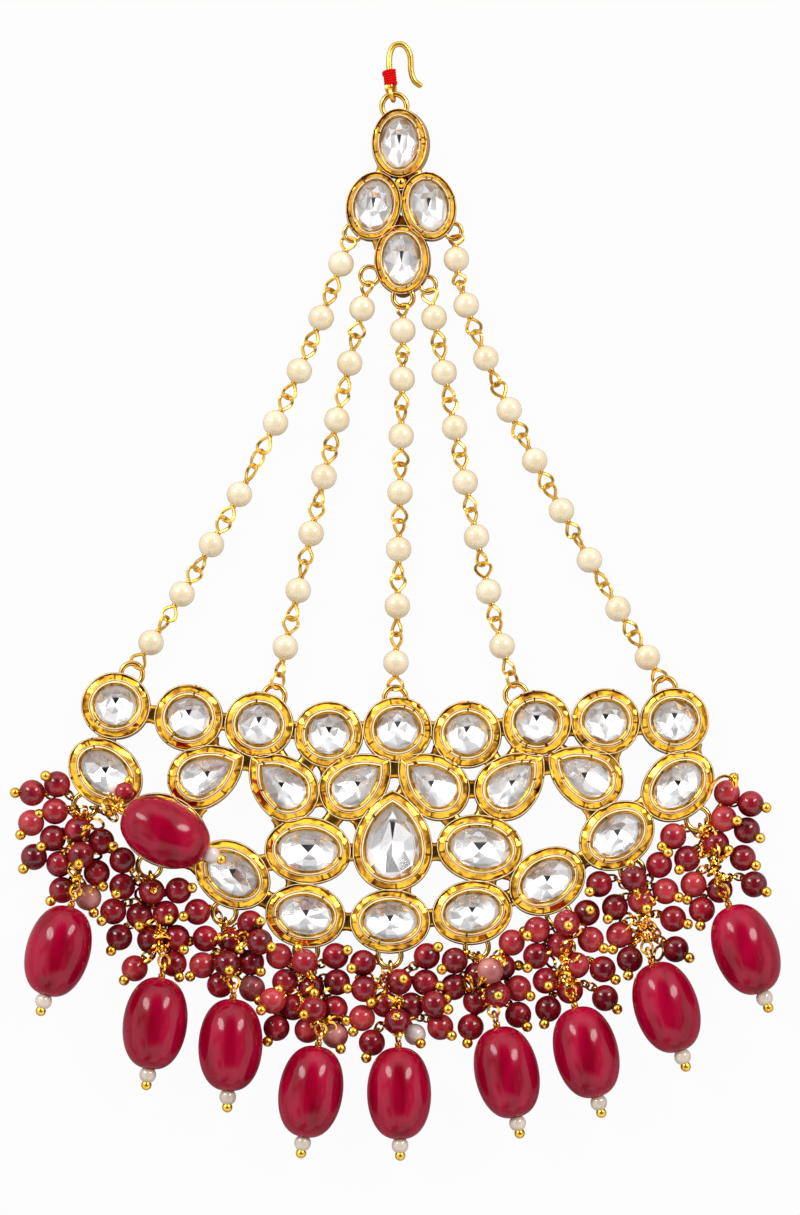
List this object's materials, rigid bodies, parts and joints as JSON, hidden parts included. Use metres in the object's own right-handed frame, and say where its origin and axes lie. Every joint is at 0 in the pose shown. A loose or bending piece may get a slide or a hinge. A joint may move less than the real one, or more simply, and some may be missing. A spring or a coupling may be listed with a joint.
{
  "type": "matha patti",
  "caption": "Head ornament: hair hook, small stone-set crown, pearl strands, curved trellis of stone-set settings, fringe of red beads and ruby drops.",
  "frame": {"origin": "middle of the footprint, on the surface that the ornament lies on", "axes": "+Y from the bead fringe to the hair hook, +X to the right as the front is seen, +Z out of the front"},
  "size_m": [0.0948, 0.1402, 0.0115],
  "materials": {
    "gold": "polished gold plate",
    "clear_stone": "foil-backed faceted clear stone",
    "ruby": "polished translucent ruby-red drop",
    "red_bead": "polished dark red bead",
    "pearl": "cream pearl lustre",
    "red_thread": "wound cotton thread"
  },
  "bodies": {
    "root": {"arc_frame": "gold", "crown_frame": "gold", "drop_1": "ruby", "drop_2": "ruby", "drop_3": "ruby", "drop_4": "ruby", "drop_5": "ruby", "drop_6": "ruby", "drop_7": "ruby", "drop_8": "ruby", "drop_9": "ruby", "drop_turned_up": "ruby", "fringe_1": "red_bead", "fringe_2": "red_bead", "fringe_3": "red_bead", "fringe_4": "red_bead", "fringe_5": "red_bead", "fringe_6": "red_bead", "fringe_7": "red_bead", "fringe_8": "red_bead", "fringe_9": "red_bead", "fringe_turned_up": "red_bead", "hook": "gold", "stone_crown_foot": "clear_stone", "stone_crown_left": "clear_stone", "stone_crown_right": "clear_stone", "stone_crown_top": "clear_stone", "stone_oval_1": "clear_stone", "stone_oval_2": "clear_stone", "stone_oval_3": "clear_stone", "stone_oval_4": "clear_stone", "stone_oval_5": "clear_stone", "stone_oval_6": "clear_stone", "stone_oval_7": "clear_stone", "stone_oval_8": "clear_stone", "stone_oval_9": "clear_stone", "stone_oval_wide_left": "clear_stone", "stone_oval_wide_right": "clear_stone", "stone_pear_1": "clear_stone", "stone_pear_2": "clear_stone", "stone_pear_3": "clear_stone", "stone_pear_4": "clear_stone", "stone_pear_5": "clear_stone", "stone_pear_6": "clear_stone", "stone_pear_large": "clear_stone", "stone_round_1": "clear_stone", "stone_round_2": "clear_stone", "stone_round_3": "clear_stone", "stone_round_4": "clear_stone", "stone_round_5": "clear_stone", "stone_round_6": "clear_stone", "stone_round_7": "clear_stone", "stone_round_8": "clear_stone", "stone_round_9": "clear_stone", "strand_1": "pearl", "strand_2": "pearl", "strand_3": "pearl", "strand_4": "pearl", "strand_5": "pearl", "thread_wrap": "red_thread"}
  },
  "joints": []
}
